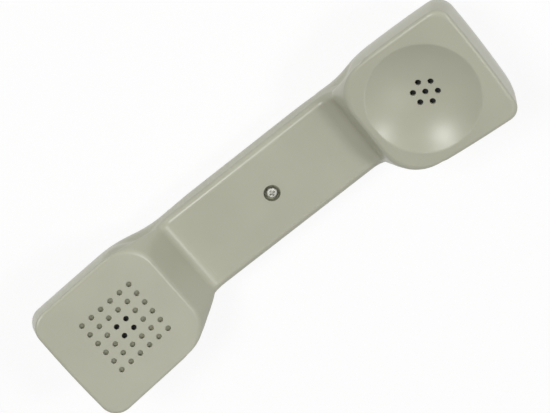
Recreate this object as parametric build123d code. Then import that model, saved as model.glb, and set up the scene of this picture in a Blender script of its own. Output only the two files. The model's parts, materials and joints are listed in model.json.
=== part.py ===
from build123d import *
from math import acos, cos, radians, sin, sqrt, tan
import os

# Telephone handset lying on its back, in millimetres.
# X runs along the handset with the mouth end at -X, Z points to the side that faces the head.
# The origin is the middle of the flat rest on the back, under the assembly screw.

# Handle
handle_width = 38.8
handle_thickness = 20.5
handle_back_radius = 12.0
back_flat_half = 34.0
back_bend_radius = 90.0

# Both heads
face_tilt = 12.2
side_round_start = 1.7
side_round_draw = 13.5
end_round_start = 10.0
end_round_draw = 8.0
skirt_depth = 6.0
skirt_run = 1.5
skirt_shoulder_growth = 1.6
waist_tuck = 0.3
foot_corner = 3.0
corner_fade = 1.4
smallest_corner = 1.0
handle_edge_round = 2.8

# Where the heads' outlines are taken for their lofts
wall_angles = (38, 54, 70, 90)
rim_angles = (0, 20, 40, 60, 90)
ramp_steps = 4

# Mouth head: sizes from the middle of its face
mouth_x = -79.66
mouth_rise = 20.35
mouth_far = 28.9
mouth_near = 25.9
mouth_half_far = 27.8
mouth_half_near = 27.4
mouth_side_bulge = 0.1
mouth_end_bulge = 0.7
mouth_far_corner = 8.0
mouth_far_corner_growth = -0.7
mouth_near_corner = 13.8
mouth_near_run = 1.106
mouth_shoulder = 24.0
mouth_cove = 6.0
mouth_edge_round = 1.0

# Ear head: sizes from the middle of its face
ear_x = 74.98
ear_rise = 24.80
ear_far = 27.4
ear_near = 27.9
ear_half_far = 28.2
ear_half_near = 26.4
ear_side_bulge = 0.7
ear_end_bulge = 0.7
ear_far_corner = 6.0
ear_far_corner_growth = 0.5
ear_near_corner = 16.0
ear_near_run = 0.45
ear_shoulder = 20.0
ear_cove = 6.5
ear_edge_round = 1.5

# Case wall and the joint between the shells
wall = 2.4
parting_height = 8.0
lip_height = 1.5
lip_clearance = 0.08

# Ear dish and its holes
dish_radius = 23.5
dish_depth = 6.48
dish_offset = 1.0
dish_edge_round = 1.2
ear_hole_diameter = 2.5
ear_hole_circle = 5.03
ear_hole_count = 6

# Mouth grille
grille_rows = 6
grille_pitch = 5.1
grille_hole_diameter = 2.4
grille_dimple_depth = 1.7
grille_open_rows = 2

# Wider room behind the open holes of both heads
hole_length = 0.8
hole_relief_diameter = 3.6

# Assembly screw, its recess and the brass insert
screw_head_diameter = 4.4
screw_head_height = 2.8
screw_head_drop = 0.1
screw_recess_diameter = 7.2
screw_shank_diameter = 2.9
screw_length = 12.6
screw_cross_width = 0.8
screw_cross_span = 2.6
screw_cross_depth = 1.0
screw_post_radius = 4.6
screw_hole_clearance = 0.25
insert_diameter = 4.2
insert_length = 6.5
insert_thread_clearance = 0.05

# Receiver capsule, stacked along the ear head's axis
receiver_radius = 17.5
receiver_seat_gap = 0.9
gasket_thickness = 1.0
gasket_width = 2.4
cap_thickness = 0.8
cap_skirt_height = 3.2
cap_skirt_wall = 0.6
cap_hole_diameter = 2.0
cap_hole_circles = ((5.0, 6), (9.6, 12))
cap_clamp_depth = 1.45
surround_width = 1.5
film_thickness = 0.25
film_gap = 0.3
dome_radius = 7.0
dome_height = 0.8
coil_wall = 0.55
coil_height = 2.9
coil_clearance = 0.4
diaphragm_travel = 0.25
pole_radius = 6.55
pole_clearance = 0.6
pole_thickness = 1.2
magnet_radius = 6.4
magnet_height = 3.2
yoke_wall = 1.7
yoke_floor = 1.2
basket_thickness = 1.0
basket_rim_wall = 0.9
board_length = 12.0
board_width = 4.4
board_thickness = 1.2
terminal_spacing = 7.0
terminal_width = 2.2
terminal_height = 2.0
terminal_thickness = 0.4
varistor_radius = 1.7
varistor_length = 3.0
lead_diameter = 0.5
foam_thickness = 1.6
receiver_post_radius = 8.0
receiver_post_wall = 2.2
well_wall = 1.4
well_clearance = 0.3
cloth_thickness = 0.3
ear_cloth_radius = 8.0

# Microphone, stacked along the mouth head's axis
mic_radius = 4.85
mic_height = 6.7
mic_can_wall = 0.3
mic_board_thickness = 0.8
boot_wall = 3.2
boot_lip = 0.8
boot_opening_radius = 4.5
boot_tail = 1.4
boot_notch_width = 5.4
mouth_cloth_radius = 8.0
holder_wall = 1.4
holder_height = 5.6
holder_clearance = 0.2
mic_foam_side = 12.0
mic_foam_thickness = 2.5
mic_post_radius = 5.0

# Modular socket for the cord's plug
jack_width = 11.4
jack_height = 10.2
jack_depth = 14.6
jack_base = 25.0
jack_clearance = 0.25
jack_front_drop = 0.5
socket_width = 7.8
socket_height = 6.8
socket_depth = 11.5
socket_floor = 2.0
latch_width = 3.6
latch_depth = 1.2
contact_count = 4
contact_pitch = 1.27
contact_diameter = 0.45
contact_slot_width = 0.8
contact_length = 7.6
contact_droop = 12.0
contact_bend_radius = 0.3
contact_front_margin = 2.6
contact_tail = 2.0
contact_gap = 0.1

# Ballast bar in the handle
ballast_length = 34.0
ballast_width = 16.0
ballast_height = 8.0
ballast_middle = -27.0
ballast_seat_height = 2.4
pad_thickness = 1.0
pad_length = 5.0
pad_inset = 3.0

# Wires and the notched ribs that hold them
wire_diameter = 0.9
wire_bottom = 5.0
wire_spacing = 1.5
wire_lane = 12.0
clip_thickness = 1.4
clip_places = (-31.0, -6.0, 13.0, 31.0)
clip_edge = 1.6
clip_height = 3.0
wire_radius_share = 0.45
wire_radius_limit = 9.0
wire_touch = 0.03
wire_loop = 3.2

# Long wires' route: out of the socket, down beside the microphone, and up to the receiver
wire_exit_run = 2.4
wire_exit_drop = (0.4, 7.0)
wire_low_run = (3.6, 12.5)
wire_side_step = 5.0
wire_descent = ((6.0, 10.4), (26.66, 4.1))
wire_climb = (11.0, 2.3)
wire_arrival = (12.5, 6.0)
wire_arrival_share = 0.65

# Short wires' route
short_exit_run = 1.4
short_notch_run = 1.0


class Head:
    """One end of the handset: a block whose face leans towards the handle."""

    def __init__(self, x, rise, far, near, half_far, half_near, side_bulge, end_bulge,
                 far_corner, far_corner_growth, near_corner, near_run, shoulder, cove, edge_round):
        self.side = 1 if x < 0 else -1
        self.x = x
        self.top = handle_thickness + rise
        self.far = far
        self.near = near
        self.half_far = half_far
        self.half_near = half_near
        self.side_bulge = side_bulge
        self.end_bulge = end_bulge
        self.far_corner = far_corner
        self.far_corner_growth = far_corner_growth
        self.near_corner = near_corner
        self.near_run = near_run
        self.shoulder = shoulder
        self.cove = cove
        self.edge_round = edge_round
        tilt = radians(face_tilt)
        # the block's bottom lies in the plane of the rising back
        back = (abs(x) - back_flat_half) * tan(tilt)
        self.depth = (self.top - back) * cos(tilt)
        # depth at which the near wall meets the flat of the handle
        self.foot = (rise - near * sin(tilt)) / (cos(tilt) + near_run * sin(tilt))

    def plane(self, depth=0.0):
        """Plane parallel to the face: local x points to the handle, local z out of the face."""
        tilt = radians(face_tilt)
        normal = Vector(self.side * sin(tilt), 0, cos(tilt))
        origin = Vector(self.x, 0, self.top) - normal * depth
        return Plane(origin=origin, x_dir=(self.side * cos(tilt), 0, -sin(tilt)), z_dir=normal)

    def place(self, x, y, depth):
        """Point of the model frame for local x and y at a depth under the face."""
        return self.plane(depth).from_local_coords(Vector(x, y, 0))

    def drawn_in(self, depth, start, draw, inset):
        """Distance that a wall has curved in at a depth: a quarter ellipse down to the bottom."""
        if depth <= start:
            return inset
        share = min(1.0, (depth - start) / (self.depth - inset - start))
        return draw - (draw - inset) * sqrt(1 - share ** 2)

    def section(self, depth, inset, rounding=0.0):
        """Outline at one depth: rounded far corners, bulged sides, and waists to the handle."""
        side_in = self.drawn_in(depth, side_round_start, side_round_draw, inset) + rounding
        end_in = self.drawn_in(depth, end_round_start, end_round_draw, inset) + rounding
        handle_side_end = self.foot + handle_thickness - handle_back_radius
        waist_in = self.drawn_in(depth, handle_side_end, handle_back_radius, inset) + waist_tuck
        to_foot = min(1.0, depth / self.foot)
        skirt = min(max(0.0, depth - self.foot), skirt_depth)
        near = self.near + self.near_run * self.foot * to_foot + skirt_run * skirt
        near -= inset * sqrt(1 + self.near_run ** 2) + rounding
        far = end_in - self.far
        corner = foot_corner + (self.near_corner - foot_corner) * (1 - to_foot) ** corner_fade
        corner = max(corner - inset, smallest_corner)

        def half_at(x):
            share = (x + self.far) / (self.far + self.near)
            straight = self.half_far * (1 - share) + self.half_near * share
            return straight + 4 * self.side_bulge * share * (1 - share) - side_in

        turn = near - corner
        waist = half_at(turn) * (1 - to_foot) + (handle_width / 2 - waist_in) * to_foot
        bend = corner / 4 + self.shoulder * to_foot + skirt_shoulder_growth * skirt
        start = turn - bend
        middle = (far + start) / 2
        side = ThreePointArc((far, half_at(far)), (middle, half_at(middle)), (start, half_at(start)))
        leave = side % 1
        arrive = Vector(leave.X, leave.Y * (1 - to_foot)).normalized()
        turn_point = Vector(turn, waist)
        shoulder = Bezier(side @ 1, side @ 1 + leave * bend / 2, turn_point - arrive * bend / 2, turn_point)
        round_off = TangentArc(turn_point, (near, waist - corner), tangent=arrive)
        end = ThreePointArc((far, half_at(far)), (far - self.end_bulge, 0), (far, -half_at(far)))
        close = Line((near, waist - corner), (near, corner - waist))
        upper = [side, shoulder, round_off]
        mirrored = [mirror(edge, about=Plane.XZ) for edge in upper]
        outline = make_face(Curve() + [*upper, close, *mirrored, end])
        far_vertices = outline.vertices().group_by(Axis.X)[0]
        radius = self.far_corner + self.far_corner_growth * side_in - inset
        return self.plane(depth) * fillet(far_vertices, max(radius, smallest_corner))

    def block(self, inset=0.0):
        """Solid of the head, with its face edge rounded when it is the outside."""
        top = inset if inset > 0 else self.edge_round
        start = max(side_round_start, top + wall / 4)
        span = self.depth - inset - side_round_start
        depths = [side_round_start + span * sin(radians(angle)) for angle in wall_angles]
        depths += [start + (self.foot - start) * step / ramp_steps for step in range(1, ramp_steps + 1)]
        depths = sorted([top, start, self.foot + skirt_depth / 2, *depths])
        solid = loft([self.section(depth, inset) for depth in depths])
        if inset == 0:
            turns = [radians(angle) for angle in rim_angles]
            rims = [self.section(self.edge_round * (1 - cos(turn)), 0.0, self.edge_round * (1 - sin(turn)))
                    for turn in turns]
            solid += loft(rims)
        return solid

    def cove_points(self):
        """Ends of the hollow rounding at the foot of the near wall: on the handle and on the wall."""
        tilt = radians(face_tilt)
        foot = self.place(self.near + self.near_run * self.foot, 0, self.foot)
        climb = Vector(self.side * (sin(tilt) - self.near_run * cos(tilt)),
                       cos(tilt) + self.near_run * sin(tilt)).normalized()
        reach = self.cove * tan(acos(abs(climb.X)) / 2)
        on_handle = Vector(foot.X + self.side * reach, handle_thickness)
        on_wall = Vector(foot.X, handle_thickness) + climb * reach
        return on_handle, on_wall

    def disc(self, radius, top, bottom, hole=0.0, x=0.0, y=0.0):
        """Round piece or ring between two depths, on the head's axis or beside it."""
        outline = Circle(radius) - Circle(hole) if hole > 0 else Circle(radius)
        return extrude(self.plane(bottom) * (Pos(x, y) * outline), amount=bottom - top)

    def slab(self, length, width, top, bottom, x=0.0, y=0.0):
        """Rectangular piece between two depths."""
        outline = Pos(x, y) * Rectangle(length, width)
        return extrude(self.plane(bottom) * outline, amount=bottom - top)


mouth = Head(mouth_x, mouth_rise, mouth_far, mouth_near, mouth_half_far, mouth_half_near,
             mouth_side_bulge, mouth_end_bulge, mouth_far_corner, mouth_far_corner_growth,
             mouth_near_corner, mouth_near_run, mouth_shoulder, mouth_cove, mouth_edge_round)
ear = Head(ear_x, ear_rise, ear_far, ear_near, ear_half_far, ear_half_near,
           ear_side_bulge, ear_end_bulge, ear_far_corner, ear_far_corner_growth,
           ear_near_corner, ear_near_run, ear_shoulder, ear_cove, ear_edge_round)

# Receiver stack: depths under the rim plane of the ear dish
ear_wall_bottom = dish_depth + wall
gasket_top = ear_wall_bottom + receiver_seat_gap
cap_top = gasket_top + gasket_thickness
cap_bottom = cap_top + cap_thickness
surround_top = cap_bottom + cap_clamp_depth
surround_bottom = surround_top + film_thickness
coil_bottom = surround_bottom + coil_height
pole_top = surround_bottom + diaphragm_travel + pole_clearance
pole_bottom = pole_top + pole_thickness
magnet_bottom = pole_bottom + magnet_height
yoke_bottom = magnet_bottom + yoke_floor
coil_inner = pole_radius + coil_clearance
coil_outer = coil_inner + coil_wall
yoke_inner = coil_outer + coil_clearance
yoke_outer = yoke_inner + yoke_wall
cap_inner = receiver_radius - cap_skirt_wall
film_outer = cap_inner - surround_width - film_gap
basket_bottom = cap_top + cap_skirt_height + basket_thickness
board_bottom = basket_bottom + board_thickness
board_x = (yoke_outer + cap_inner) / 2
foam_bottom = yoke_bottom + foam_thickness

# Microphone stack: depths under the mouth face
mouth_cloth_top = wall
boot_top = mouth_cloth_top + cloth_thickness
mic_top = boot_top + boot_lip
mic_bottom = mic_top + mic_height
mic_board_bottom = mic_bottom + mic_board_thickness
boot_bottom = mic_board_bottom + boot_tail
boot_radius = mic_radius + boot_wall
mic_foam_bottom = boot_bottom + mic_foam_thickness

# Screw column
screw_head_top = handle_thickness - screw_head_drop
recess_floor = screw_head_top - screw_head_height
screw_tip = recess_floor - screw_length
post_top = parting_height + lip_height * 2

# Socket
mouth_end_x = mouth.place(-mouth_far - mouth_end_bulge, 0, end_round_start).X
jack_front = mouth_end_x + jack_front_drop
jack_back = jack_front + jack_depth
jack_middle = (jack_front + jack_back) / 2
socket_base = jack_base + socket_floor
socket_top = socket_base + socket_height
leg_z = socket_top + contact_diameter
pivot_x = jack_front + contact_front_margin
pivot_z = leg_z - contact_bend_radius
tail_end = jack_back + contact_tail
wire_z = wire_bottom + wire_diameter / 2


def handle_bar(inset=0.0):
    """Handle with a rounded back that bends up under both heads, cut flat at its inner side."""
    half = handle_width / 2 - inset
    tall = 3 * handle_thickness
    outline = Pos(0, inset + tall / 2) * Rectangle(2 * half, tall)
    outline = fillet(outline.vertices().group_by(Axis.Y)[0], handle_back_radius - inset)
    tilt = radians(face_tilt)
    wing = min(abs(mouth_x), ear_x) - back_flat_half
    reach = back_flat_half + wing * cos(tilt)
    lift = wing * sin(tilt)
    path = FilletPolyline((-reach, 0, lift), (-back_flat_half, 0, 0), (back_flat_half, 0, 0),
                          (reach, 0, lift), radius=back_bend_radius)
    start = Plane(origin=path @ 0, x_dir=(0, 1, 0), z_dir=path % 0)
    bar = sweep(start * outline, path=path)
    if inset > 0:
        above = Pos(0, 0, handle_thickness - inset + tall) * Box(4 * reach, 4 * half, 2 * tall)
        return bar - above
    bar -= space_above(2 * reach, 2 * tall)
    top_edges = [edge for edge in bar.edges()
                 if abs(abs(edge.center().Y) - half) < wall / 10
                 and abs(edge.bounding_box().min.Z - handle_thickness) < wall / 10]
    return fillet(top_edges, handle_edge_round)


def space_above(reach, height):
    """Space over the handle, with a hollow rounding up to each head."""
    left_low, left_high = mouth.cove_points()
    right_low, right_high = ear.cove_points()
    left = TangentArc(left_low, left_high, tangent=(-1, 0))
    right = TangentArc(right_low, right_high, tangent=(1, 0))
    flat = Line(left_low, right_low)
    over = Polyline(right_high, (reach, right_high.Y), (reach, height), (-reach, height),
                    (-reach, left_high.Y), left_high)
    outline = make_face(Curve() + [flat, right, over, left])
    return extrude(Plane.XZ * outline, amount=handle_width, both=True)


def form(inset=0.0):
    """Whole case as one solid, its surface moved in by the inset."""
    return handle_bar(inset) + mouth.block(inset) + ear.block(inset)


def upper_side(lift=0.0):
    """Everything above the joint line of the shells, which follows the rising back."""
    reach = 2 * ear_x
    rise = (reach - back_flat_half) * tan(radians(face_tilt))
    low = parting_height + lift
    high = low + rise + ear.top
    outline = Polyline((-reach, high), (-reach, low + rise), (-back_flat_half, low),
                       (back_flat_half, low), (reach, low + rise), (reach, high), close=True)
    return extrude(Plane.XZ * make_face(outline), amount=handle_width, both=True)


def dish_ball(extra=0.0):
    """Ball whose cap is the ear dish."""
    radius = (dish_radius ** 2 + dish_depth ** 2) / (2 * dish_depth)
    centre = ear.place(dish_offset, 0, dish_depth - radius)
    return Pos(centre) * Sphere(radius + extra)


def open_hole(head, radius, surface, x=0.0, y=0.0):
    """Hole right through the wall under a surface, wider behind its front part."""
    hole = head.disc(radius, surface - wall, surface + 2 * wall, x=x, y=y)
    relief = head.disc(hole_relief_diameter / 2, surface + hole_length, surface + 2 * wall, x=x, y=y)
    return hole + relief


def ear_holes():
    """One hole in the middle of the dish and a ring around it."""
    radius = ear_hole_diameter / 2
    holes = [open_hole(ear, radius, dish_depth)]
    for index in range(ear_hole_count):
        turn = radians(90 + 360 * index / ear_hole_count)
        holes.append(open_hole(ear, radius, dish_depth, x=ear_hole_circle * cos(turn),
                               y=ear_hole_circle * sin(turn)))
    return holes


def grille_holes():
    """Square grid in the mouth face: dimples, with through holes in the middle."""
    holes = []
    middle = (grille_rows - 1) / 2
    for row in range(grille_rows):
        for column in range(grille_rows):
            x = (row - middle) * grille_pitch
            y = (column - middle) * grille_pitch
            is_open = max(abs(row - middle), abs(column - middle)) < grille_open_rows / 2
            if is_open:
                holes.append(open_hole(mouth, grille_hole_diameter / 2, 0.0, x=x, y=y))
            else:
                holes.append(mouth.disc(grille_hole_diameter / 2, -wall, grille_dimple_depth, x=x, y=y))
    return holes


def jack_hole():
    """Notch in the mouth's end wall that the socket looks out of."""
    width = jack_width + 2 * jack_clearance
    height = jack_height + jack_clearance
    reach = jack_depth
    return Pos(jack_front, 0, jack_base + height / 2) * Box(reach, width, height)


def round_post(radius, bottom, top, hole=0.0):
    """Upright post or tube on the screw's axis."""
    outline = Circle(radius) - Circle(hole) if hole > 0 else Circle(radius)
    return Pos(0, 0, bottom) * extrude(outline, amount=top - bottom)


def front_shell(outer, middle, cavity):
    """Inner half: ear dish, grille, screw recess, receiver well and microphone holder."""
    shell = outer & upper_side()
    shell -= cavity - dish_ball(wall)
    hole_pad = ear.disc(ear_cloth_radius + wall / 4, 0, ear_wall_bottom)
    seat = ear.disc(receiver_radius, 0, gasket_top, hole=receiver_radius - gasket_width)
    well_inner = receiver_radius + well_clearance
    well = ear.disc(well_inner + well_wall, 0, cap_top + cap_skirt_height, hole=well_inner)
    # wires leave the well through a notch towards the handle
    well -= ear.slab(receiver_radius, board_length, cap_bottom, basket_bottom, x=receiver_radius)
    holder_inner = boot_radius + holder_clearance
    holder = mouth.disc(holder_inner + holder_wall, 0, wall + holder_height, hole=holder_inner)
    boss = round_post(screw_post_radius, post_top, handle_thickness)
    inside = (hole_pad + seat + well + holder + boss) & middle
    shell = shell + inside
    shell -= dish_ball()
    dish_rim = [edge for edge in shell.edges().filter_by(GeomType.CIRCLE)
                if abs(edge.radius - dish_radius) < dish_edge_round / 4]
    shell = fillet(dish_rim, dish_edge_round)
    shell -= round_post(screw_recess_diameter / 2, recess_floor, 2 * handle_thickness)
    shank_hole = screw_shank_diameter / 2 + screw_hole_clearance
    shell -= round_post(shank_hole, post_top - wall, 2 * handle_thickness)
    shell = shell - ear_holes() - grille_holes()
    shell -= jack_hole()
    rebate = upper_side(-lip_height) - upper_side(lip_height + lip_clearance)
    return shell - ((middle & rebate) - cavity)


def wire_clip(place):
    """Rib on the back shell's floor with a notch for the two long wires."""
    lane_width = wire_spacing + wire_diameter + 2 * wire_touch
    width = lane_width + 2 * clip_edge
    height = wire_bottom + clip_height
    rib = Pos(place, wire_lane, height / 2) * Box(clip_thickness, width, height)
    notch_base = wire_bottom - wire_touch
    notch = Pos(place, wire_lane, notch_base + height) * Box(2 * clip_thickness, lane_width, 2 * height)
    return rib - notch


def back_shell(outer, middle, cavity):
    """Outer half: posts for the screw, receiver and microphone, seats and notched ribs."""
    shell = outer - cavity - upper_side()
    lip = (middle & (upper_side(-lip_height) - upper_side(lip_height))) - cavity
    screw_post = round_post(screw_post_radius, wall / 2, post_top)
    receiver_post = ear.disc(receiver_post_radius, foam_bottom, ear.depth,
                             hole=receiver_post_radius - receiver_post_wall)
    mic_post = mouth.disc(mic_post_radius, mic_foam_bottom, mouth.depth)
    jack_seat = Pos(jack_middle, 0, jack_base / 2) * Box(jack_depth, jack_width - 2 * wall, jack_base)
    inside = screw_post + receiver_post + mic_post + jack_seat
    for place in clip_places:
        inside += wire_clip(place)
    inside += [ballast_seat(side) for side in (-1, 1)]
    shell = shell + (inside & middle) + lip
    insert_hole = round_post(insert_diameter / 2, post_top - insert_length, post_top)
    tip_room = round_post(screw_shank_diameter / 2 + screw_hole_clearance, screw_tip - wall / 2, post_top)
    shell = shell - insert_hole - tip_room
    return shell - jack_hole()


def ballast_seat(side):
    """Rib under one ballast pad."""
    x = ballast_middle + side * (ballast_length / 2 - pad_inset)
    height = wall + ballast_seat_height
    return Pos(x, 0, height / 2) * Box(pad_length, ballast_width, height)


def assembly_screw():
    """Pan head with a cross slot, and a plain shank."""
    head = round_post(screw_head_diameter / 2, recess_floor, screw_head_top)
    head = fillet(head.edges().group_by(Axis.Z)[-1], screw_head_height / 4)
    slot_middle = screw_head_top - screw_cross_depth / 2
    for span_x, span_y in ((screw_cross_span, screw_cross_width), (screw_cross_width, screw_cross_span)):
        head -= Pos(0, 0, slot_middle) * Box(span_x, span_y, screw_cross_depth)
    shank = round_post(screw_shank_diameter / 2, screw_tip, recess_floor)
    return head + shank


def threaded_insert():
    """Brass sleeve flush with the top of the screw post."""
    return round_post(insert_diameter / 2, post_top - insert_length, post_top,
                      hole=screw_shank_diameter / 2 + insert_thread_clearance)


def receiver_cap():
    """Perforated lid whose skirt folds around the capsule and clamps the surround."""
    lid = ear.disc(receiver_radius, cap_top, cap_bottom)
    skirt = ear.disc(receiver_radius, cap_bottom, cap_top + cap_skirt_height, hole=cap_inner)
    clamp = ear.disc(cap_inner, cap_bottom, surround_top, hole=cap_inner - surround_width)
    cap = lid + skirt + clamp
    cap -= ear.disc(cap_hole_diameter / 2, cap_top, cap_bottom)
    for circle_radius, count in cap_hole_circles:
        for index in range(count):
            turn = radians(360 * index / count)
            cap -= ear.disc(cap_hole_diameter / 2, cap_top, cap_bottom,
                            x=circle_radius * cos(turn), y=circle_radius * sin(turn))
    return cap


def receiver_surround():
    """Film ring held between the cap and the basket."""
    return ear.disc(cap_inner, surround_top, surround_bottom, hole=cap_inner - surround_width)


def receiver_diaphragm():
    """Flat film with a dome in its middle."""
    film = ear.disc(film_outer, surround_top, surround_bottom, hole=dome_radius)
    ball = (dome_radius ** 2 + dome_height ** 2) / (2 * dome_height)
    outer_rise = dome_height + film_thickness
    outer_ball = (dome_radius ** 2 + outer_rise ** 2) / (2 * outer_rise)
    below = Pos(ear.place(0, 0, surround_bottom + ball - dome_height)) * Sphere(ball)
    above = Pos(ear.place(0, 0, surround_bottom + outer_ball - outer_rise)) * Sphere(outer_ball)
    dome = above - below
    dome &= ear.disc(dome_radius, surround_top - 2 * dome_height, surround_bottom)
    rim = ear.disc(dome_radius, surround_top, surround_bottom, hole=dome_radius - film_thickness)
    return film + dome + rim


def receiver_coil():
    """Copper ring hanging from the diaphragm into the magnet's gap."""
    return ear.disc(coil_outer, surround_bottom, coil_bottom, hole=coil_inner)


def receiver_pole():
    """Steel disc on the magnet."""
    return ear.disc(pole_radius, pole_top, pole_bottom)


def receiver_magnet():
    """Magnet between the pole disc and the yoke's floor."""
    return ear.disc(magnet_radius, pole_bottom, magnet_bottom)


def receiver_yoke():
    """Steel cup around the magnet."""
    wall_ring = ear.disc(yoke_outer, pole_top, magnet_bottom, hole=yoke_inner)
    return wall_ring + ear.disc(yoke_outer, magnet_bottom, yoke_bottom)


def receiver_basket():
    """Frame between the yoke and the clamped rim, with four windows."""
    rim = ear.disc(cap_inner, surround_bottom, basket_bottom, hole=cap_inner - basket_rim_wall)
    plate = ear.disc(cap_inner, basket_bottom - basket_thickness, basket_bottom, hole=yoke_outer)
    frame = rim + plate
    window_radius = (cap_inner - basket_rim_wall - yoke_outer) / 3
    for turn in (45, 135, 225, 315):
        frame -= ear.disc(window_radius, basket_bottom - basket_thickness, basket_bottom,
                          x=board_x * cos(radians(turn)), y=board_x * sin(radians(turn)))
    return frame


def terminal_board():
    """Laminate strip on the basket, on the handle's side."""
    return ear.slab(board_width, board_length, basket_bottom, board_bottom, x=board_x)


def receiver_terminals():
    """Two lugs: a flat foot on the board and an upright tab each."""
    lugs = []
    for side in (-1, 1):
        y = side * terminal_spacing / 2
        foot = ear.slab(board_width - 2 * terminal_thickness, terminal_width, board_bottom,
                        board_bottom + terminal_thickness, x=board_x, y=y)
        tab = ear.slab(terminal_thickness, terminal_width, board_bottom,
                       board_bottom + terminal_height, x=board_x, y=y)
        lugs.append(foot + tab)
    return Compound(children=lugs)


def receiver_varistor():
    """Bead between the lugs with a lead to each."""
    depth = board_bottom + varistor_radius
    middle = ear.place(board_x, 0, depth)
    bead = Plane(origin=middle, z_dir=(0, 1, 0)) * Cylinder(varistor_radius, varistor_length)
    lead_span = terminal_spacing - terminal_width - 2 * wire_touch
    lead = Plane(origin=middle, z_dir=(0, 1, 0)) * Cylinder(lead_diameter / 2, lead_span)
    return bead + lead


def receiver_gasket():
    """Rubber ring between the case's seat and the cap."""
    return ear.disc(receiver_radius, gasket_top, cap_top, hole=receiver_radius - gasket_width)


def ear_cloth():
    """Cloth disc behind the ear holes."""
    return ear.disc(ear_cloth_radius, ear_wall_bottom, ear_wall_bottom + cloth_thickness)


def receiver_foam():
    """Foam ring between the yoke and its post."""
    return ear.disc(receiver_post_radius, yoke_bottom, foam_bottom,
                    hole=receiver_post_radius - receiver_post_wall)


def mic_boot():
    """Rubber sleeve with a lip in front of the capsule and a notch for the wires."""
    sleeve = mouth.disc(boot_radius, boot_top, boot_bottom, hole=mic_radius)
    lip = mouth.disc(boot_radius, boot_top, mic_top, hole=boot_opening_radius)
    notch = mouth.slab(boot_radius, boot_notch_width, mic_board_bottom, boot_bottom, x=-boot_radius)
    return sleeve + lip - notch


def mic_can():
    """Aluminium cup, open at the back, with a small sound hole."""
    can = mouth.disc(mic_radius, mic_top, mic_bottom)
    can -= mouth.disc(mic_radius - mic_can_wall, mic_top + mic_can_wall, mic_bottom)
    return can - mouth.disc(grille_hole_diameter / 2, mic_top, mic_top + mic_can_wall)


def mic_board():
    """Disc that closes the capsule's back."""
    return mouth.disc(mic_radius, mic_bottom, mic_board_bottom)


def mouth_cloth():
    """Cloth disc behind the grille."""
    return mouth.disc(mouth_cloth_radius, mouth_cloth_top, boot_top)


def mic_foam():
    """Foam block between the boot and its post."""
    return mouth.slab(mic_foam_side, mic_foam_side, boot_bottom, mic_foam_bottom)


def contact_y(index):
    """Place of one contact across the socket."""
    return (index - (contact_count - 1) / 2) * contact_pitch


def contact_room():
    """Slots that the contacts lie and move in."""
    height = contact_diameter + 2 * contact_gap
    length = jack_back - pivot_x + 2 * contact_bend_radius + contact_gap
    slots = []
    for index in range(contact_count):
        middle = Pos(jack_back - length / 2, contact_y(index), leg_z)
        slots.append(middle * Box(length, contact_slot_width, height + 2 * contact_diameter))
    return slots


def jack_body():
    """Socket with a latch channel, contact slots and room for the carrier."""
    body = Pos(jack_middle, 0, jack_base + jack_height / 2) * Box(jack_depth, jack_width, jack_height)
    socket_x = jack_front + socket_depth / 2
    body -= Pos(socket_x, 0, socket_base + socket_height / 2) * Box(socket_depth, socket_width, socket_height)
    body -= Pos(socket_x, 0, socket_base) * Box(socket_depth, latch_width, 2 * latch_depth)
    body -= carrier_block(jack_clearance / 5)
    return body - contact_room()


def carrier_block(extra=0.0):
    """Block behind the socket's room."""
    length = jack_depth - socket_depth
    height = socket_height + 2 * extra
    middle = Pos(jack_back - length / 2, 0, socket_base + socket_height / 2)
    return middle * Box(length, socket_width + 2 * extra, height)


def contact_carrier():
    """Insert at the back of the socket, with a groove for each leg."""
    return carrier_block() - contact_room()


def contact_legs():
    """Fixed ends of the four wires, from the front bend to the tails."""
    start = pivot_x + contact_gap
    legs = []
    for index in range(contact_count):
        line = Plane(origin=(start, contact_y(index), leg_z), z_dir=(1, 0, 0))
        legs.append(extrude(line * Circle(contact_diameter / 2), amount=tail_end - start))
    return Compound(children=legs)


def contact_springs():
    """Sprung ends of the four wires: a bend at the front and a free end that droops."""
    springs = []
    turn = 180 - contact_droop
    for index in range(contact_count):
        side_view = Plane(origin=(pivot_x, contact_y(index), pivot_z), x_dir=(1, 0, 0), z_dir=(0, -1, 0))
        bend = CenterArc((0, 0), contact_bend_radius, 90, turn)
        free = Line(bend @ 1, bend @ 1 + (bend % 1) * contact_length)
        path = side_view * (Curve() + [bend, free])
        start = Plane(origin=path @ 0, z_dir=path % 0)
        springs.append(sweep(start * Circle(contact_diameter / 2), path=path))
    return Compound(children=springs)


def ballast_bar():
    """Steel bar on its two pads."""
    base = wall + ballast_seat_height + pad_thickness
    bar = Pos(ballast_middle, 0, base + ballast_height / 2)
    solid = bar * Box(ballast_length, ballast_width, ballast_height)
    return chamfer(solid.edges().filter_by(Axis.Z), pad_thickness)


def ballast_pads():
    """Rubber strips under the bar, on their ribs."""
    pads = []
    for side in (-1, 1):
        x = ballast_middle + side * (ballast_length / 2 - pad_inset)
        height = wall + ballast_seat_height + pad_thickness / 2
        pads.append(Pos(x, 0, height) * Box(pad_length, ballast_width, pad_thickness))
    return Compound(children=pads)


def routed_wire(name, points):
    """Round wire along straight runs joined by tangent arcs."""
    points = [Vector(*point) if isinstance(point, tuple) else point for point in points]
    radii = []
    for before, here, after in zip(points, points[1:], points[2:]):
        first = here - before
        second = after - here
        turn = acos(max(-1.0, min(1.0, first.normalized().dot(second.normalized()))))
        room = wire_radius_share * min(first.length, second.length) / tan(turn / 2)
        radii.append(min(room, wire_radius_limit))
    print(name, "radii", [round(radius, 2) for radius in radii])
    path = FilletPolyline(*points, radius=radii)
    start = Plane(origin=path @ 0, z_dir=path % 0)
    wire = sweep(start * Circle(wire_diameter / 2), path=path)
    section = Circle(wire_diameter / 2).area
    print(name, "volume over section times length", round(wire.volume / (section * path.length), 4))
    return wire


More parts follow.
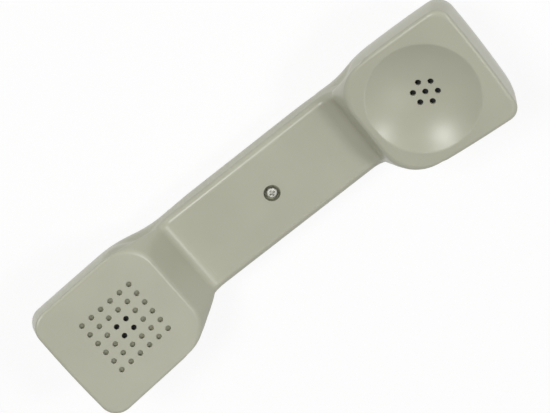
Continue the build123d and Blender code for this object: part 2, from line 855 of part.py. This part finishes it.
def receiver_wire(name, index, lane):
    """Long wire from a contact tail, through the handle, to one receiver lug."""
    y = wire_lane + lane * wire_spacing / 2
    tail_y = contact_y(index)
    lug_x = board_x + (terminal_thickness + wire_diameter) / 2 + wire_touch
    lug_y = terminal_spacing / 2 * lane
    lug_depth = board_bottom + terminal_height
    arrival_y = y + wire_arrival_share * (lug_y - y)
    loop = lane * wire_spacing / 2
    exit_x = tail_end + wire_exit_run
    drop_x = exit_x + wire_exit_drop[0]
    low_x = exit_x + wire_low_run[0]
    points = [
        (tail_end + wire_touch, tail_y, leg_z),
        (exit_x, tail_y, leg_z),
        (drop_x, tail_y, leg_z - wire_exit_drop[1]),
        (low_x, y - wire_side_step, leg_z - wire_low_run[1]),
    ]
    for run, rise in wire_descent:
        points.append((mouth_x + run, y, wire_z + rise))
    points += [
        (-back_flat_half, y, wire_z),
        (back_flat_half, y, wire_z),
        (back_flat_half + wire_climb[0], y, wire_z + wire_climb[1]),
        (ear_x - wire_arrival[0], arrival_y, wire_z + wire_arrival[1] + wire_loop + loop),
        ear.place(lug_x, ear.side * lug_y, lug_depth + wire_loop - loop),
        ear.place(lug_x, ear.side * lug_y, lug_depth - wire_diameter),
    ]
    return routed_wire(name, points)


def microphone_wire(name, index, side):
    """Short wire from a contact tail into the boot's notch and to the capsule's board."""
    tail_y = contact_y(index)
    depth = mic_board_bottom + wire_diameter / 2 + wire_touch
    return routed_wire(name, [
        (tail_end + wire_touch, tail_y, leg_z),
        (tail_end + short_exit_run, tail_y, leg_z),
        mouth.place(-boot_radius - short_notch_run, tail_y, depth),
        mouth.place(-mic_radius / 2, side * wire_diameter, depth),
    ])


def write(name, shape):
    """Write one node and print its size."""
    export_step(shape, f"parts/{name}.step")
    solids = shape.solids()
    print(name, len(solids), "solids", round(sum(solid.volume for solid in solids), 1), "mm3")


def build():
    """Make every node."""
    os.makedirs("parts", exist_ok=True)
    outer = form()
    middle = form(wall / 2)
    cavity = form(wall)
    write("front_shell", front_shell(outer, middle, cavity))
    write("back_shell", back_shell(outer, middle, cavity))
    write("assembly_screw", assembly_screw())
    write("threaded_insert", threaded_insert())
    write("receiver_cap", receiver_cap())
    write("receiver_surround", receiver_surround())
    write("receiver_diaphragm", receiver_diaphragm())
    write("receiver_voice_coil", receiver_coil())
    write("receiver_pole_plate", receiver_pole())
    write("receiver_magnet", receiver_magnet())
    write("receiver_yoke", receiver_yoke())
    write("receiver_basket", receiver_basket())
    write("receiver_terminal_board", terminal_board())
    write("receiver_terminals", receiver_terminals())
    write("receiver_varistor", receiver_varistor())
    write("receiver_gasket", receiver_gasket())
    write("receiver_dust_cloth", ear_cloth())
    write("receiver_foam_ring", receiver_foam())
    write("microphone_boot", mic_boot())
    write("microphone_can", mic_can())
    write("microphone_board", mic_board())
    write("microphone_dust_cloth", mouth_cloth())
    write("microphone_foam_block", mic_foam())
    write("jack_body", jack_body())
    write("jack_contact_carrier", contact_carrier())
    write("jack_contact_legs", contact_legs())
    write("jack_contact_springs", contact_springs())
    write("ballast_bar", ballast_bar())
    write("ballast_pads", ballast_pads())
    write("receiver_wire_red", receiver_wire("receiver_wire_red", 1, -1))
    write("receiver_wire_green", receiver_wire("receiver_wire_green", 2, 1))
    write("microphone_wire_black", microphone_wire("microphone_wire_black", 0, -1))
    write("microphone_wire_yellow", microphone_wire("microphone_wire_yellow", 3, 1))


build()
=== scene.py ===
import json
import math

import bmesh
import bpy
from mathutils import Matrix, Vector


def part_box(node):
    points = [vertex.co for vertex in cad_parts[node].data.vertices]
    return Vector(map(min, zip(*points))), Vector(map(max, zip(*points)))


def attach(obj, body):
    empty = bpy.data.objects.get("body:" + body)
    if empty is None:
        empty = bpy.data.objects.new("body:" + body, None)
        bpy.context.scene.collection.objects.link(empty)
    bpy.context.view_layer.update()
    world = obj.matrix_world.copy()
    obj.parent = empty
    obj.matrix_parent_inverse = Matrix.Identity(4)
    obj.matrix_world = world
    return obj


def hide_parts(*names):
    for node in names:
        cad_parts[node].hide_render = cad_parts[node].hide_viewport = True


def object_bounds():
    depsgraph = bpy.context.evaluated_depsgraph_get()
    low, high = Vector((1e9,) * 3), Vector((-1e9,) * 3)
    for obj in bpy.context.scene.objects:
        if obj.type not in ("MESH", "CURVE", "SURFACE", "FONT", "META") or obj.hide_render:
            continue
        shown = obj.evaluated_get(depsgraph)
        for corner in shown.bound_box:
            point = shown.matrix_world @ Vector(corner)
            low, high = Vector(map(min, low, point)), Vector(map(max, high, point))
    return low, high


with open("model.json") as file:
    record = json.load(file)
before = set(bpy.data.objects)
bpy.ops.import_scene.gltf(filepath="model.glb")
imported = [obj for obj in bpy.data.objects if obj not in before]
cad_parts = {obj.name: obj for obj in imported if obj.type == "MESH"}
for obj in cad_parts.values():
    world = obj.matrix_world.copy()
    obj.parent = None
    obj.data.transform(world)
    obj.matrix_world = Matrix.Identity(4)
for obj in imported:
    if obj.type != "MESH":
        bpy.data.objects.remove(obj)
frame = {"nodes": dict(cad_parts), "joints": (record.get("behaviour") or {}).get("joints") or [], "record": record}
cad_low, cad_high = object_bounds()
mm = 0.001

# Camera: it looks down on the handset's inner side, a little from +Y (angles in degrees, lens in mm)
aim_point = Vector((-2.7, -5.4, 20.5)) * mm
camera_distance = 797.7 * mm
camera_lean = 19.7
camera_bearing = 68.2
camera_roll = -107.3
lens_length = 125.3
sensor_width = 36

# Lamps, as they stand in the photograph: right, high right, left, far up left and low right.
# Each leans away from the camera's direction, to a side counted anticlockwise from the right.
lamp_distance = 1.6
lamps = {
    "right_lamp": {"lean": 38.0, "side_turn": -7.0, "power": 7.7, "width": 0.34},
    "high_lamp": {"lean": 52.0, "side_turn": 32.0, "power": 3.6, "width": 1.0},
    "left_lamp": {"lean": 22.5, "side_turn": 192.0, "power": 13.3, "width": 0.46},
    "edge_lamp": {"lean": 70.0, "side_turn": 135.0, "power": 4.1, "width": 0.9},
    "front_lamp": {"lean": 50.0, "side_turn": 300.0, "power": 2.0, "width": 0.6},
}
sky_strength = 0.05

# Floor: half its side, the size of its mottle, and the share of plain white in what is seen of it
floor_half = 3.0
floor_mottle = 0.4
floor_own_white = 0.9

# Patterns: the values that clouds mostly lie between, and a wave's radians in a metre at scale 1
cloud_low = 0.3
cloud_high = 0.7
wave_pace = 20

# Painted shade in the grille's dimples and the screw's recess: how far out it is, and how deep it lies in full
grille_shade_reach = 20 * mm
recess_shade_reach = 3.8 * mm
painted_shade_depth = 1.0 * mm

# Foam: how full it is, and its swell and its corners as shares of its thickness
foam_swell = 0.12
foam_corner = 1 / 3

# Cloth: the share of its slot that it fills, half waves from its middle to its rim, and waves around it
cloth_share = 0.6
cloth_ripples = 3
cloth_waves = 5
cloth_wave_share = 0.3

# Meshes of foam and cloth: steps around, up a side or out to the rim, cuts in a wall, and points made one
foam_turn_steps = 72
foam_side_steps = 12
foam_cuts = 9
cloth_turn_steps = 64
cloth_rings = 16
weld_distance = 0.001 * mm

# The two heads lean towards the handle, so the pieces in them do as well
joints = {joint["name"]: joint for joint in frame["joints"]}
mounts = {mount["name"]: mount for mount in frame["record"]["mounts"]}
ear_axis = Vector(joints["diaphragm_stroke"]["axis"])
mouth_axis = Vector(mounts["mouth_face"]["axis"])
ear_lean = math.asin(ear_axis.x)
mouth_lean = math.asin(mouth_axis.x)


def shade(red, green, blue):
    """A colour as a screen shows it, from 0 to 255, made linear for the shader by the sRGB curve."""
    linear = []
    for value in (red, green, blue):
        share = value / 255
        linear.append(share / 12.92 if share < 0.04 else ((share + 0.055) / 1.055) ** 2.4)
    return (*linear, 1.0)


def combined(tree, way, first, second):
    """Output of a Math node over two others, or over one and a number."""
    node = tree.nodes.new("ShaderNodeMath")
    node.operation = way
    tree.links.new(first, node.inputs[0])
    if isinstance(second, float):
        node.inputs[1].default_value = second
    else:
        tree.links.new(second, node.inputs[1])
    return node.outputs["Value"]


def background_rays(tree):
    """1 for a ray that shows the background itself, 0 for one that only brings its light."""
    rays = tree.nodes.new("ShaderNodeLightPath").outputs
    seen = combined(tree, "MAXIMUM", rays["Is Camera Ray"], rays["Is Glossy Ray"])
    return combined(tree, "MAXIMUM", seen, rays["Is Transmission Ray"])


class Finish:
    """One material in the making: a shader, and patterns on the piece's own coordinates."""

    def __init__(self, name, roughness=0.5, metal=0.0, **sockets):
        self.material = bpy.data.materials.new(name)
        self.material.use_nodes = True
        self.tree = self.material.node_tree
        self.shader = self.tree.nodes["Principled BSDF"]
        self.shader.inputs["Roughness"].default_value = roughness
        self.shader.inputs["Metallic"].default_value = metal
        for socket, value in sockets.items():
            self.shader.inputs[socket.replace("_", " ")].default_value = value
        self.coordinates = self.tree.nodes.new("ShaderNodeTexCoord").outputs["Object"]
        self.normal = None

    def join(self, output, socket):
        """Link an output to a socket."""
        self.tree.links.new(output, socket)

    def place(self, lean=0.0, middle=(0, 0, 0), stretch=(1, 1, 1)):
        """Coordinates from a middle, turned to a leaning axis and stretched."""
        node = self.tree.nodes.new("ShaderNodeMapping")
        node.vector_type = "TEXTURE"
        node.inputs["Location"].default_value = middle
        node.inputs["Rotation"].default_value = (0, lean, 0)
        node.inputs["Scale"].default_value = stretch
        self.join(self.coordinates, node.inputs["Vector"])
        return node.outputs["Vector"]

    def clouds(self, size, detail=3.0, place=None):
        """Soft random pattern with spots of about this size."""
        node = self.tree.nodes.new("ShaderNodeTexNoise")
        node.inputs["Scale"].default_value = 1 / size
        node.inputs["Detail"].default_value = detail
        self.join(place or self.coordinates, node.inputs["Vector"])
        return node.outputs["Fac"]

    def cells(self, size):
        """Pattern of packed cells, dark in their middles."""
        node = self.tree.nodes.new("ShaderNodeTexVoronoi")
        node.inputs["Scale"].default_value = 1 / size
        self.join(self.coordinates, node.inputs["Vector"])
        return node.outputs["Distance"]

    def bands(self, pitch, direction="X", kind="BANDS", distortion=0.0, place=None):
        """Even lines or rings, one to each pitch."""
        node = self.tree.nodes.new("ShaderNodeTexWave")
        node.wave_type = kind
        if kind == "BANDS":
            node.bands_direction = direction
        else:
            node.rings_direction = direction
        node.inputs["Scale"].default_value = math.tau / (wave_pace * pitch)
        node.inputs["Distortion"].default_value = distortion
        self.join(place or self.coordinates, node.inputs["Vector"])
        return node.outputs["Fac"]

    def blended(self, first, second, way="MULTIPLY"):
        """Two patterns made one."""
        return combined(self.tree, way, first, second)

    def spread(self, pattern, start, end, low=0.0, high=1.0):
        """The part of a pattern between two of its values, spread from low to high."""
        node = self.tree.nodes.new("ShaderNodeMapRange")
        node.inputs["From Min"].default_value = start
        node.inputs["From Max"].default_value = end
        node.inputs["To Min"].default_value = low
        node.inputs["To Max"].default_value = high
        self.join(pattern, node.inputs["Value"])
        return node.outputs["Result"]

    def tones(self, pattern, dark, light, low=cloud_low, high=cloud_high):
        """Colour that runs from dark to light over a pattern."""
        node = self.tree.nodes.new("ShaderNodeValToRGB")
        node.color_ramp.elements[0].position = low
        node.color_ramp.elements[0].color = dark
        node.color_ramp.elements[1].position = high
        node.color_ramp.elements[1].color = light
        self.join(pattern, node.inputs["Fac"])
        self.join(node.outputs["Color"], self.shader.inputs["Base Color"])
        return node.outputs["Color"]

    def well(self, radius, depth, lean=0.0, middle=(0, 0, 0)):
        """Rises from 0 at a round column's top to 1 at a depth in it, and is 0 beside the column."""
        split = self.tree.nodes.new("ShaderNodeSeparateXYZ")
        self.join(self.place(lean=lean, middle=middle), split.inputs["Vector"])
        flat = self.tree.nodes.new("ShaderNodeCombineXYZ")
        self.join(split.outputs["X"], flat.inputs["X"])
        self.join(split.outputs["Y"], flat.inputs["Y"])
        length = self.tree.nodes.new("ShaderNodeVectorMath")
        length.operation = "LENGTH"
        self.join(flat.outputs["Vector"], length.inputs[0])
        within = combined(self.tree, "LESS_THAN", length.outputs["Value"], radius)
        under = self.spread(split.outputs["Z"], 0, -depth)
        return combined(self.tree, "MULTIPLY", within, under)

    def paint_shade(self, tone, wells, colour):
        """Tone made darker by a colour where any of the wells is 1: painted shade."""
        for well in wells:
            node = self.tree.nodes.new("ShaderNodeMixRGB")
            node.blend_type = "MULTIPLY"
            node.inputs["Color2"].default_value = colour
            self.join(tone, node.inputs["Color1"])
            self.join(well, node.inputs["Fac"])
            tone = node.outputs["Color"]
        self.join(tone, self.shader.inputs["Base Color"])

    def polish(self, pattern, low, high):
        """Roughness that runs from low to high over a pattern of clouds."""
        roughness = self.spread(pattern, cloud_low, cloud_high, low, high)
        self.join(roughness, self.shader.inputs["Roughness"])

    def relief(self, pattern, depth, strength=1.0):
        """Bumps of this depth, on top of those already there."""
        node = self.tree.nodes.new("ShaderNodeBump")
        node.inputs["Distance"].default_value = depth
        node.inputs["Strength"].default_value = strength
        self.join(pattern, node.inputs["Height"])
        if self.normal is not None:
            self.join(self.normal, node.inputs["Normal"])
        self.normal = node.outputs["Normal"]
        self.join(self.normal, self.shader.inputs["Normal"])


def case_plastic():
    """Greenish-grey moulded shell: satin, finely grained, faintly cloudy, with painted shade in its recesses."""
    finish = Finish("case_plastic", roughness=0.34)
    broad = finish.clouds(28 * mm, detail=2)
    tone = finish.tones(broad, shade(172, 172, 154), shade(178, 178, 160))
    grille_middle = mounts["mouth_face"]["pos_m"]
    screw_top = Vector((0, 0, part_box("assembly_screw")[1].z))
    # Painted shade: the tone is darkened in the grille's dimples and in the screw's recess, where shade falls
    dimple_shade = finish.well(grille_shade_reach, painted_shade_depth, lean=mouth_lean, middle=grille_middle)
    recess_shade = finish.well(recess_shade_reach, painted_shade_depth, middle=screw_top)
    finish.paint_shade(tone, (dimple_shade, recess_shade), shade(214, 214, 206))
    grain = finish.clouds(0.35 * mm, detail=2)
    finish.polish(broad, 0.32, 0.37)
    finish.relief(grain, 0.012 * mm, strength=0.5)
    flow = finish.clouds(9 * mm, detail=1)
    finish.relief(flow, 0.02 * mm, strength=0.4)
    return finish.material


def screw_zinc():
    """Zinc-plated steel with fine turning rings and a pale chalky film."""
    finish = Finish("screw_zinc", roughness=0.5, metal=0.6)
    film = finish.clouds(0.7 * mm)
    finish.tones(film, shade(132, 132, 122), shade(206, 206, 198))
    finish.polish(film, 0.42, 0.6)
    finish.relief(finish.bands(0.16 * mm, direction="Z", kind="RINGS"), 0.004 * mm, strength=0.5)
    return finish.material


def insert_brass():
    """Turned brass with fine rings round it."""
    finish = Finish("insert_brass", roughness=0.3, metal=1.0)
    film = finish.clouds(1.2 * mm)
    finish.tones(film, shade(168, 130, 62), shade(214, 178, 98))
    finish.polish(film, 0.22, 0.4)
    finish.relief(finish.bands(0.3 * mm, direction="Z"), 0.02 * mm, strength=0.6)
    return finish.material


def plated_steel():
    """Nickel-plated pressing with a faint drawn grain."""
    finish = Finish("plated_steel", roughness=0.3, metal=1.0)
    grain = finish.clouds(0.4 * mm, detail=4, place=finish.place(stretch=(8, 1, 1)))
    finish.tones(grain, shade(178, 176, 170), shade(206, 205, 200))
    finish.polish(grain, 0.24, 0.38)
    finish.relief(grain, 0.004 * mm, strength=0.5)
    return finish.material


def receiver_film():
    """Clear honey-coloured film with pressed rings around the receiver's axis."""
    finish = Finish("receiver_film", roughness=0.16, Coat_Weight=0.3)
    low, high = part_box("receiver_diaphragm")
    centred = finish.place(lean=ear_lean, middle=(low + high) / 2)
    finish.tones(finish.clouds(3 * mm), shade(196, 178, 130), shade(220, 204, 160))
    rings = finish.bands(1.1 * mm, direction="Z", kind="RINGS", place=centred)
    finish.relief(rings, 0.06 * mm, strength=0.7)
    return finish.material


def coil_copper():
    """Enamelled winding: one line for each turn of wire."""
    finish = Finish("coil_copper", roughness=0.28, metal=0.9, Coat_Weight=0.5)
    along = finish.place(lean=ear_lean)
    turns = finish.bands(0.14 * mm, direction="Z", place=along)
    finish.tones(turns, shade(120, 52, 26), shade(206, 112, 66))
    finish.relief(turns, 0.03 * mm)
    return finish.material


def magnet_ferrite():
    """Sintered magnet: dark, dry and finely grained."""
    finish = Finish("magnet_ferrite", roughness=0.6)
    grain = finish.clouds(0.25 * mm, detail=5)
    finish.tones(grain, shade(44, 44, 47), shade(78, 78, 82))
    finish.polish(grain, 0.5, 0.72)
    finish.relief(grain, 0.015 * mm, strength=0.6)
    return finish.material


def black_moulding():
    """Black nylon moulding with faint flow marks."""
    finish = Finish("black_moulding", roughness=0.4)
    flow = finish.clouds(2.5 * mm, detail=4, place=finish.place(stretch=(3, 1, 1)))
    finish.tones(flow, shade(24, 24, 25), shade(40, 40, 41))
    finish.polish(flow, 0.34, 0.5)
    finish.relief(finish.clouds(0.3 * mm), 0.01 * mm, strength=0.5)
    return finish.material


def board_laminate():
    """Brown paper laminate with long fibres."""
    finish = Finish("board_laminate", roughness=0.48, Coat_Weight=0.15)
    fibres = finish.clouds(0.3 * mm, detail=5, place=finish.place(stretch=(1, 9, 1)))
    finish.tones(fibres, shade(142, 96, 48), shade(182, 134, 76))
    finish.polish(fibres, 0.4, 0.56)
    finish.relief(fibres, 0.008 * mm, strength=0.5)
    return finish.material


def lug_tin():
    """Tinned brass, dull where the bath ran thin."""
    finish = Finish("lug_tin", roughness=0.25, metal=1.0)
    runs = finish.clouds(0.7 * mm, detail=3)
    finish.tones(runs, shade(182, 180, 172), shade(222, 221, 216))
    finish.polish(runs, 0.18, 0.4)
    finish.relief(runs, 0.02 * mm, strength=0.5)
    return finish.material


def varistor_bead():
    """Dipped blue lacquer with a pebbled skin."""
    finish = Finish("varistor_bead", roughness=0.22, Coat_Weight=0.6)
    skin = finish.clouds(0.5 * mm, detail=2)
    finish.tones(skin, shade(46, 74, 128), shade(66, 98, 156))
    finish.relief(skin, 0.05 * mm, strength=0.5)
    return finish.material


def moulded_rubber():
    """Black rubber with a pale bloom in patches."""
    finish = Finish("moulded_rubber", roughness=0.75)
    bloom = finish.clouds(3.5 * mm, detail=5)
    finish.tones(bloom, shade(34, 34, 35), shade(58, 58, 58), low=0.4, high=0.8)
    finish.polish(bloom, 0.66, 0.86)
    finish.relief(finish.clouds(0.22 * mm, detail=2), 0.02 * mm, strength=0.5)
    return finish.material


def dust_cloth(name, lean):
    """Close plain weave of dark thread, square to the head that it lies in."""
    finish = Finish(name, roughness=0.85, Sheen_Weight=0.3)
    pitch = 0.36 * mm
    square = finish.place(lean=lean)
    warp = finish.bands(pitch, direction="X", distortion=0.6, place=square)
    weft = finish.bands(pitch, direction="Y", distortion=0.6, place=square)
    threads = finish.blended(warp, weft, way="MAXIMUM")
    finish.tones(threads, shade(12, 12, 13), shade(52, 52, 54), low=0.4, high=0.95)
    finish.relief(threads, 0.06 * mm)
    return finish.material


def open_foam():
    """Grey open-cell foam: pits of different sizes between soft struts."""
    finish = Finish("open_foam", roughness=0.92, Sheen_Weight=0.15)
    pits = finish.cells(0.55 * mm)
    fine = finish.cells(0.24 * mm)
    both = finish.blended(pits, fine, way="MINIMUM")
    finish.tones(both, shade(34, 34, 37), shade(122, 122, 126), low=0.05, high=0.45)
    finish.relief(both, 0.25 * mm)
    return finish.material


def capsule_aluminium():
    """Drawn aluminium cup with lines along its wall."""
    finish = Finish("capsule_aluminium", roughness=0.3, metal=1.0)
    drawn = finish.place(lean=mouth_lean, stretch=(1, 1, 12))
    lines = finish.clouds(0.25 * mm, detail=4, place=drawn)
    finish.tones(lines, shade(196, 197, 198), shade(226, 227, 228))
    finish.polish(lines, 0.22, 0.36)
    finish.relief(lines, 0.005 * mm, strength=0.6)
    return finish.material


def contact_gold():
    """Thin gold on drawn wire, a little redder where it is worn."""
    finish = Finish("contact_gold", roughness=0.22, metal=1.0)
    wear = finish.clouds(0.6 * mm, detail=4, place=finish.place(stretch=(6, 1, 1)))
    finish.tones(wear, shade(198, 150, 76), shade(236, 198, 112))
    finish.polish(wear, 0.16, 0.32)
    finish.relief(wear, 0.005 * mm, strength=0.5)
    return finish.material


def ballast_black():
    """Black-oxide bar stock: rolling lines, and browner where the oxide is thin."""
    finish = Finish("ballast_black", roughness=0.5, metal=0.7)
    rolled = finish.clouds(0.5 * mm, detail=5, place=finish.place(stretch=(14, 1, 1)))
    thin = finish.clouds(6 * mm, detail=4)
    both = finish.blended(rolled, thin)
    finish.tones(both, shade(50, 47, 46), shade(104, 92, 80), low=0.15, high=0.42)
    finish.polish(rolled, 0.42, 0.62)
    finish.relief(rolled, 0.02 * mm, strength=0.6)
    return finish.material


def wire_jacket(name, dark, light):
    """Extruded jacket: a slight drag pattern and a satin skin."""
    finish = Finish(name, roughness=0.36)
    drag = finish.clouds(1.6 * mm, detail=4)
    finish.tones(drag, dark, light)
    finish.polish(drag, 0.3, 0.46)
    finish.relief(finish.clouds(0.3 * mm, detail=2), 0.01 * mm, strength=0.5)
    return finish.material


def studio_white():
    """Pale floor with the faintest mottle: mostly plain white as seen, and it takes a shadow."""
    finish = Finish("studio_white", roughness=0.9)
    finish.tones(finish.clouds(floor_mottle), shade(247, 247, 246), shade(250, 250, 249))
    seen = combined(finish.tree, "MULTIPLY", background_rays(finish.tree), floor_own_white)
    white = finish.tree.nodes.new("ShaderNodeEmission")
    mix = finish.tree.nodes.new("ShaderNodeMixShader")
    output = finish.tree.nodes["Material Output"]
    finish.join(seen, mix.inputs["Fac"])
    finish.join(finish.shader.outputs["BSDF"], mix.inputs[1])
    finish.join(white.outputs["Emission"], mix.inputs[2])
    finish.join(mix.outputs["Shader"], output.inputs["Surface"])
    return finish.material


# One finish for each slot of the record, apart from cloth: each of the two cloths makes its own
finishes = {
    "case_plastic": case_plastic(),
    "screw_steel": screw_zinc(),
    "brass": insert_brass(),
    "plated_steel": plated_steel(),
    "film": receiver_film(),
    "copper": coil_copper(),
    "magnet": magnet_ferrite(),
    "black_plastic": black_moulding(),
    "laminate": board_laminate(),
    "tin": lug_tin(),
    "bead": varistor_bead(),
    "rubber": moulded_rubber(),
    "foam": open_foam(),
    "aluminium": capsule_aluminium(),
    "gold": contact_gold(),
    "ballast_steel": ballast_black(),
    "wire_red": wire_jacket("jacket_red", shade(158, 26, 24), shade(186, 38, 34)),
    "wire_green": wire_jacket("jacket_green", shade(28, 112, 50), shade(42, 138, 66)),
    "wire_black": wire_jacket("jacket_black", shade(26, 26, 28), shade(44, 44, 46)),
    "wire_yellow": wire_jacket("jacket_yellow", shade(206, 176, 36), shade(228, 200, 58)),
}


def finish_cad_nodes():
    """Every CAD node gets the finish of its slot, if there is one."""
    for subpart in frame["record"]["subparts"]:
        finish = finishes.get(subpart["material_slot"])
        if finish is not None:
            node = frame["nodes"][subpart["node"]]
            node.data.materials.clear()
            node.data.materials.append(finish)


def lying_sizes(node, axis):
    """Middle, half width and thickness of a round or square CAD piece that lies square to an axis."""
    low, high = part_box(node)
    half_width = (high.y - low.y) / 2
    thickness = (high.z - low.z - 2 * half_width * abs(axis.x)) / axis.z
    return (low + high) / 2, half_width, thickness


def hole_radius(node, axis):
    """Radius of the hole through a round CAD piece that lies square to an axis."""
    low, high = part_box(node)
    middle = (low + high) / 2
    shape = frame["nodes"][node]
    reaches = []
    for vertex in shape.data.vertices:
        from_middle = shape.matrix_world @ vertex.co - middle
        reaches.append(from_middle.cross(axis).length)
    return min(reaches)


def mesh_object(name, bm, finish):
    """Object of the mesh and one finish, put in the scene."""
    mesh = bpy.data.meshes.new(name)
    bm.to_mesh(mesh)
    bm.free()
    mesh.materials.append(finish)
    holder = bpy.data.objects.new(name, mesh)
    bpy.context.scene.collection.objects.link(holder)
    return holder


def add_piece(name, bm, axis, middle, finish, node):
    """Make the mesh a piece of the case, with its own Z along an axis, in place of a CAD node."""
    turn = axis.to_track_quat("Z", "Y").to_matrix().to_4x4()
    bmesh.ops.recalc_face_normals(bm, faces=bm.faces)
    bmesh.ops.transform(bm, matrix=Matrix.Translation(middle) @ turn, verts=bm.verts)
    piece = mesh_object(name, bm, finish)
    for face in piece.data.polygons:
        face.use_smooth = True
    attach(piece, "case")
    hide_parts(node)
    return piece


def spun(points, steps):
    """Surface of a profile of (radius, height) points, turned once around Z."""
    bm = bmesh.new()
    ring = [bm.verts.new((radius, 0, height)) for radius, height in points]
    edges = [bm.edges.new(pair) for pair in zip(ring, ring[1:])]
    bmesh.ops.spin(bm, geom=ring + edges, axis=(0, 0, 1), cent=(0, 0, 0), steps=steps,
                   angle=2 * math.pi, use_merge=True)
    bmesh.ops.remove_doubles(bm, verts=bm.verts, dist=weld_distance)
    return bm


def rippled_disc(radius, slack, thickness):
    """Round sheet with ripples out from its middle, which are stronger in some directions."""
    profile = []
    for index in range(cloth_rings + 1):
        share = index / cloth_rings
        profile.append((radius * share, slack * math.cos(cloth_ripples * math.pi * share)))
    bm = spun(profile, cloth_turn_steps)
    for vertex in bm.verts:
        turn = math.atan2(vertex.co.y, vertex.co.x)
        vertex.co.z *= 1 - cloth_wave_share + cloth_wave_share * math.cos(cloth_waves * turn)
    bmesh.ops.recalc_face_normals(bm, faces=bm.faces)
    bmesh.ops.solidify(bm, geom=bm.faces[:], thickness=thickness)
    return bm


def cloth_disc(name, node, axis, lean):
    """Disc of cloth stretched behind the holes, a little slack between its glued rim and middle."""
    middle, radius, room = lying_sizes(node, axis)
    thickness = cloth_share * room
    bm = rippled_disc(radius, (room - thickness) / 2, thickness)
    heights = [vertex.co.z for vertex in bm.verts]
    centre = (min(heights) + max(heights)) / 2
    bmesh.ops.translate(bm, vec=(0, 0, -centre), verts=bm.verts)
    piece = add_piece(name, bm, axis, middle, dust_cloth(f"{name}_weave", lean), node)


def foam_ring():
    """Ring of foam squeezed between the yoke and its post, so that its sides swell."""
    node = "receiver_foam_ring"
    middle, radius, thickness = lying_sizes(node, ear_axis)
    hole = hole_radius(node, ear_axis)
    swell = foam_swell * thickness
    profile = []
    for side, at in ((1, radius - swell), (-1, hole + swell)):
        for index in range(foam_side_steps + 1):
            climb = side * (index / foam_side_steps - 0.5)
            profile.append((at + side * swell * (1 - (2 * climb) ** 2), thickness * climb))
    profile.append(profile[0])
    bm = spun(profile, foam_turn_steps)
    piece = add_piece("receiver_foam_ring_soft", bm, ear_axis, middle, finishes["foam"], node)


def upright_edges(bm, least):
    """Edges of a mesh that climb more than this."""
    return [edge for edge in bm.edges if abs(edge.verts[0].co.z - edge.verts[1].co.z) > least]


def pressed_block(size, swell):
    """Block whose sides swell between the two flats that press it."""
    bm = bmesh.new()
    bmesh.ops.create_cube(bm, size=1.0)
    bmesh.ops.scale(bm, vec=size, verts=bm.verts)
    corners = upright_edges(bm, size.z / 2)
    bmesh.ops.bevel(bm, geom=corners, offset=foam_corner * size.z, segments=4, profile=0.5,
                    material=-1, affect="EDGES")
    walls = upright_edges(bm, size.z / 2)
    bmesh.ops.subdivide_edges(bm, edges=walls, cuts=foam_cuts, use_grid_fill=True)
    for vertex in bm.verts:
        share = 2 * vertex.co.z / size.z
        pull = swell * share ** 2
        vertex.co.x -= math.copysign(pull, vertex.co.x)
        vertex.co.y -= math.copysign(pull, vertex.co.y)
    return bm


def foam_block():
    """Square of foam behind the microphone's boot, with swollen sides."""
    node = "microphone_foam_block"
    middle, half_side, thickness = lying_sizes(node, mouth_axis)
    size = Vector((2 * half_side, 2 * half_side, thickness))
    bm = pressed_block(size, foam_swell * thickness)
    piece = add_piece("microphone_foam_block_soft", bm, mouth_axis, middle,
                      finishes["foam"], node)


def lay_floor():
    """Pale floor under the handset's back."""
    bm = bmesh.new()
    bmesh.ops.create_grid(bm, x_segments=1, y_segments=1, size=floor_half)
    bmesh.ops.translate(bm, vec=(0, 0, cad_low.z), verts=bm.verts)
    floor = mesh_object("studio_floor", bm, studio_white())


def turned(degrees, axis):
    """Turn around one axis."""
    return Matrix.Rotation(math.radians(degrees), 4, axis)


def camera_turn():
    """Turn of the camera: lean away from the vertical, bearing of that lean, and roll."""
    return turned(camera_bearing, "Z") @ turned(camera_lean, "Y") @ turned(camera_roll, "Z")


def aimed_object(name, data, turn, distance):
    """Camera or lamp that looks at the aim point from a distance."""
    holder = bpy.data.objects.new(name, data)
    back = turn.to_3x3() @ Vector((0, 0, 1))
    holder.matrix_world = Matrix.Translation(aim_point + back * distance) @ turn
    bpy.context.scene.collection.objects.link(holder)
    return holder


def set_camera():
    """Camera of the photograph."""
    camera = bpy.data.cameras.new("photo_camera")
    camera.lens = lens_length
    camera.sensor_width = sensor_width
    bpy.context.scene.camera = aimed_object("photo_camera", camera, camera_turn(), camera_distance)


def set_lamp(name, lean, side_turn, power, width):
    """Soft square lamp that leans away from the camera's direction."""
    lamp = bpy.data.lights.new(name, "AREA")
    lamp.size = width
    lamp.energy = power
    turn = camera_turn() @ turned(side_turn, "Z") @ turned(lean, "Y")
    aimed_object(name, lamp, turn, lamp_distance)


def set_sky():
    """Weak even light from all round, that shows as plain white itself."""
    world = bpy.data.worlds.new("studio_sky")
    world.use_nodes = True
    tree = world.node_tree
    background = tree.nodes["Background"]
    background.inputs["Color"].default_value = (1, 1, 1, 1)
    strength = combined(tree, "MAXIMUM", background_rays(tree), sky_strength)
    tree.links.new(strength, background.inputs["Strength"])
    bpy.context.scene.world = world


finish_cad_nodes()
cloth_disc("ear_cloth", "receiver_dust_cloth", ear_axis, ear_lean)
cloth_disc("mouth_cloth", "microphone_dust_cloth", mouth_axis, mouth_lean)
foam_ring()
foam_block()

lay_floor()
set_camera()
for lamp_name, setting in lamps.items():
    set_lamp(lamp_name, **setting)
set_sky()
bpy.context.scene.view_settings.view_transform = "Standard"
